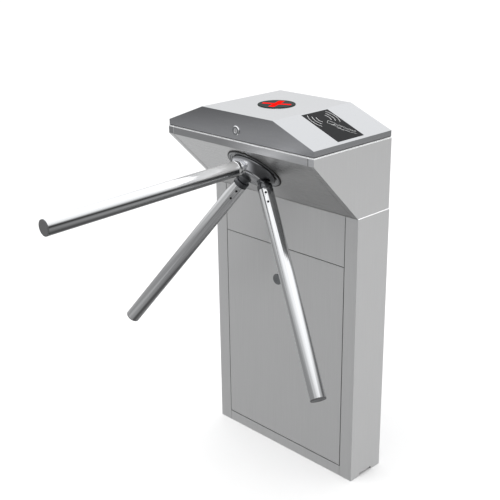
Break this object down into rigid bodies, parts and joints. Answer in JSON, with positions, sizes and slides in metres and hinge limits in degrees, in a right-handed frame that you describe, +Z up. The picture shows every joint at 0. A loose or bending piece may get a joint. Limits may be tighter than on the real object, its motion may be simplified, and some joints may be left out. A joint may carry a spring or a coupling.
{
  "type": "tripod turnstile",
  "caption": "Floor-standing tripod turnstile with sloped hub, rotating arms, lit passage indicator and card readers, that lets people through one at a time and keeps count.",
  "frame": {"origin": "centre of the pedestal's footprint, on the floor", "axes": "+Z up; -Y towards the arms and the passage; +X to the right seen from the arms' side, +Y towards the flat back"},
  "size_m": [0.7402, 0.8206, 0.9816],
  "materials": {
    "panel_steel": "brushed stainless, satin",
    "lid_steel": "brushed stainless, satin",
    "tube_chrome": "polished",
    "hub_metal": "polished, dark",
    "spigot_metal": "turned, polished",
    "escutcheon_metal": "turned",
    "foot_paint": "powder coat, matt",
    "black_rubber": "matt",
    "zinc_steel": "zinc plated",
    "lock_chrome": "polished",
    "lock_dark": "dark, semi-gloss",
    "plate_aluminium": "machined",
    "bearing_steel": "ground",
    "shaft_steel": "ground",
    "gear_nylon": "moulded",
    "damper_black": "gloss",
    "coil_copper": "enamelled winding",
    "board_green": "solder mask",
    "supply_case": "folded, satin",
    "battery_case": "moulded case, matt",
    "black_acrylic": "polished",
    "module_plastic": "moulded",
    "indicator_dark": "satin",
    "indicator_red": "lit",
    "screw_black": "black oxide",
    "pawl_steel": "hardened"
  },
  "bodies": {
    "cabinet": {"base_plate": "foot_paint", "cable_grommet": "black_rubber", "left_side_panel": "panel_steel", "right_side_panel": "panel_steel", "rear_panel": "panel_steel", "upper_front_panel": "panel_steel", "bottom_rail": "panel_steel", "left_cheek": "panel_steel", "right_cheek": "panel_steel", "slope_panel": "panel_steel", "lid_gasket": "black_rubber", "lid_hinge_leaves": "zinc_steel", "lid_hinge_pins": "zinc_steel", "lock_keepers": "zinc_steel", "hub_escutcheon": "escutcheon_metal", "mechanism_plate": "plate_aluminium", "standoffs": "zinc_steel", "pawl_pivots": "zinc_steel", "bearing_housing": "plate_aluminium", "shaft_bearings": "bearing_steel", "solenoid_frames": "zinc_steel", "solenoid_coils": "coil_copper", "sensor_board": "board_green", "damper_body": "damper_black", "control_board": "board_green", "power_supply": "supply_case", "backup_battery": "battery_case", "equipment_plate": "zinc_steel"},
    "lid": {"lid_shell": "lid_steel", "lid_hinge_straps": "zinc_steel", "indicator_bezel": "indicator_dark", "indicator_lens": "indicator_dark", "indicator_cross": "indicator_red", "indicator_board": "board_green", "reader_window_left": "black_acrylic", "reader_window_right": "black_acrylic", "reader_modules": "module_plastic", "lid_lock_barrel": "lock_chrome"},
    "lid_cam": {"lid_lock_cam": "lock_chrome"},
    "door": {"front_door": "panel_steel", "door_lock_barrel": "lock_dark"},
    "door_cam": {"door_lock_cam": "lock_dark"},
    "rotor": {"hub_body": "hub_metal", "hub_cap": "hub_metal", "arm_tube_1": "tube_chrome", "arm_tube_2": "tube_chrome", "arm_tube_3": "tube_chrome", "arm_spigots": "spigot_metal", "arm_end_caps": "tube_chrome", "arm_set_screws": "screw_black", "main_shaft": "shaft_steel", "main_gear": "gear_nylon", "lock_disc": "pawl_steel", "count_disc": "module_plastic", "shaft_nut": "zinc_steel"},
    "pinion": {"damper_pinion": "gear_nylon"},
    "left_pawl": {"pawl_left": "pawl_steel"},
    "right_pawl": {"pawl_right": "pawl_steel"},
    "left_plunger": {"plunger_left": "shaft_steel"},
    "right_plunger": {"plunger_right": "shaft_steel"}
  },
  "joints": [
    {"name": "rotor_spin", "type": "hinge", "parent": "cabinet", "child": "rotor", "pos_m": [0, -0.15919, 0.83319], "axis": [0, -0.7071, -0.7071], "continuous": true},
    {"name": "damper_spin", "type": "hinge", "parent": "cabinet", "child": "pinion", "pos_m": [0, -0.06727, 0.82329], "axis": [0, -0.7071, -0.7071], "continuous": true},
    {"name": "pawl_left_swing", "type": "hinge", "parent": "cabinet", "child": "left_pawl", "pos_m": [-0.043, -0.07292, 0.84592], "axis": [0, 0.7071, 0.7071], "range_deg": [0, 9], "stiffness_Nm_per_rad": 0.12, "springref_deg": -28.65},
    {"name": "pawl_right_swing", "type": "hinge", "parent": "cabinet", "child": "right_pawl", "pos_m": [0.043, -0.07292, 0.84592], "axis": [0, -0.7071, -0.7071], "range_deg": [0, 9], "stiffness_Nm_per_rad": 0.12, "springref_deg": -28.65},
    {"name": "plunger_left_slide", "type": "slide", "parent": "cabinet", "child": "left_plunger", "axis": [1, 0, 0], "range_m": [0, 0.00821]},
    {"name": "plunger_right_slide", "type": "slide", "parent": "cabinet", "child": "right_plunger", "axis": [-1, 0, 0], "range_m": [0, 0.00821]},
    {"name": "lid_hinge", "type": "hinge", "parent": "cabinet", "child": "lid", "pos_m": [0, 0.0655, 0.9145], "axis": [-1, 0, 0], "range_deg": [0, 75]},
    {"name": "lid_lock_turn", "type": "hinge", "parent": "lid", "child": "lid_cam", "pos_m": [0, -0.2185, 0.9385], "axis": [0, 1, 0], "range_deg": [0, 90]},
    {"name": "door_tilt", "type": "hinge", "parent": "cabinet", "child": "door", "pos_m": [0, -0.0545, 0.0365], "axis": [1, 0, 0], "range_deg": [0, 7]},
    {"name": "door_lock_turn", "type": "hinge", "parent": "door", "child": "door_cam", "pos_m": [-0.018, -0.06, 0.505], "axis": [0, -1, 0], "range_deg": [0, 90]}
  ],
  "couplings": [
    {"joint": "damper_spin", "follows": "rotor_spin", "ratio": -3},
    {"joint": "plunger_left_slide", "follows": "pawl_left_swing", "m_per_rad": 0.051},
    {"joint": "plunger_right_slide", "follows": "pawl_right_swing", "m_per_rad": 0.051}
  ]
}
